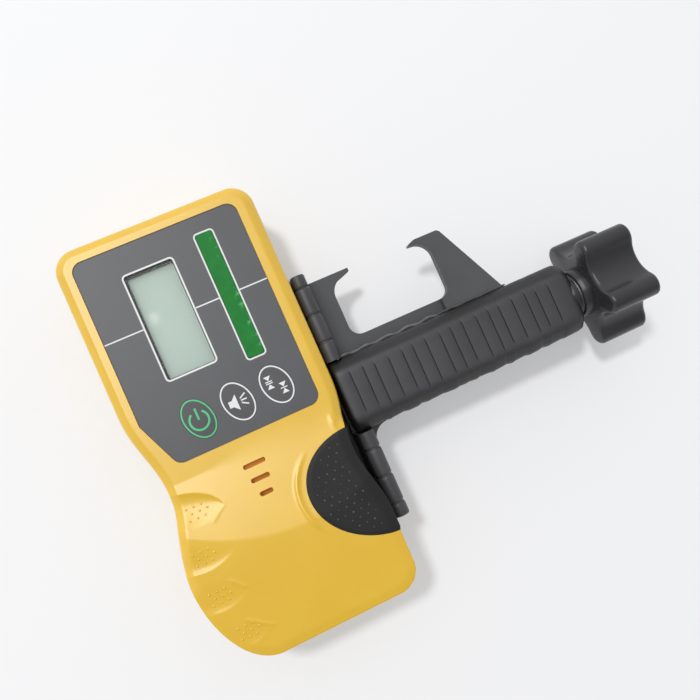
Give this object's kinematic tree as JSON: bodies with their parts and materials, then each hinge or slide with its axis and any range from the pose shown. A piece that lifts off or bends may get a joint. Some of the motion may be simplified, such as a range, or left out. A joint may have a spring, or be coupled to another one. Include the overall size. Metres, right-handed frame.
{
  "type": "laser receiver",
  "caption": "Handheld laser receiver with display, sensor window and keys, on a bracket whose screw clamp grips a survey rod between a fixed horn and a sliding hooked jaw.",
  "frame": {"origin": "on the back face of the bracket's plate, under the crossing of the receiver's centre line and its on-grade line", "axes": "+X from the receiver along the clamp arm to the star knob, +Y towards the receiver's top edge, +Z out of the receiver's front"},
  "size_m": [0.2039, 0.1623, 0.0455],
  "materials": {
    "yellow_case": "satin moulded plastic",
    "panel_grey": "matt printed film",
    "clear_window": "clear gloss",
    "lcd": "pale reflective display",
    "green_filter": "clear green filter",
    "key_grey": "matt",
    "black_rubber": "matt with small dots",
    "black_plastic": "textured moulded plastic",
    "jaw_plastic": "fine textured plastic",
    "knob_plastic": "satin moulded plastic",
    "steel": "plated",
    "brass": "turned",
    "circuit_board": "solder mask",
    "component_black": "moulded",
    "cell_jacket": "printed jacket"
  },
  "bodies": {
    "receiver": {"front_shell": "yellow_case", "rear_shell": "yellow_case", "case_seal": "black_rubber", "case_screws": "steel", "panel_overlay": "panel_grey", "lcd_window": "clear_window", "lcd_module": "lcd", "sensor_window": "green_filter", "sensor_board": "circuit_board", "photodiodes": "component_black", "main_board": "circuit_board", "board_screws": "steel", "key_switches": "component_black", "buzzer": "component_black", "battery_cells": "cell_jacket", "battery_contacts": "steel", "side_grip": "black_rubber", "mount_insert": "brass", "bracket_frame": "black_plastic", "bracket_screw": "steel", "screw_retainer": "black_plastic", "arm_housing": "black_plastic", "arm_screws": "steel", "fixed_jaw": "jaw_plastic", "fixed_jaw_screws": "steel", "end_cap": "black_plastic", "thrust_washer": "steel"},
    "power_button": {"power_key": "key_grey"},
    "sound_button": {"sound_key": "key_grey"},
    "precision_button": {"precision_key": "key_grey"},
    "door": {"battery_door": "yellow_case"},
    "knob": {"star_knob": "knob_plastic", "knob_insert": "brass", "knob_screw": "steel", "lead_screw": "steel", "retaining_ring": "steel"},
    "jaw": {"sliding_jaw": "jaw_plastic", "jaw_carriage": "black_plastic", "carriage_nut": "brass", "jaw_screws": "steel"}
  },
  "joints": [
    {"name": "power_press", "type": "slide", "parent": "receiver", "child": "power_button", "axis": [0, 0, -1], "range_m": [0, 0.0006], "stiffness_N_per_m": 600, "springref_m": -0.001},
    {"name": "sound_press", "type": "slide", "parent": "receiver", "child": "sound_button", "axis": [0, 0, -1], "range_m": [0, 0.0006], "stiffness_N_per_m": 600, "springref_m": -0.001},
    {"name": "precision_press", "type": "slide", "parent": "receiver", "child": "precision_button", "axis": [0, 0, -1], "range_m": [0, 0.0006], "stiffness_N_per_m": 600, "springref_m": -0.001},
    {"name": "door_slide", "type": "slide", "parent": "receiver", "child": "door", "axis": [0, -1, 0], "range_m": [0, 0.045]},
    {"name": "knob_turn", "type": "hinge", "parent": "receiver", "child": "knob", "pos_m": [0.15, -0.0524, 0.0238], "axis": [-1, 0, 0], "range_deg": [-1440, 2160]},
    {"name": "jaw_slide", "type": "slide", "parent": "receiver", "child": "jaw", "axis": [-1, 0, 0], "range_m": [-0.01601, 0.02401]}
  ],
  "couplings": [
    {"joint": "jaw_slide", "follows": "knob_turn", "m_per_rad": 0.00063662}
  ]
}
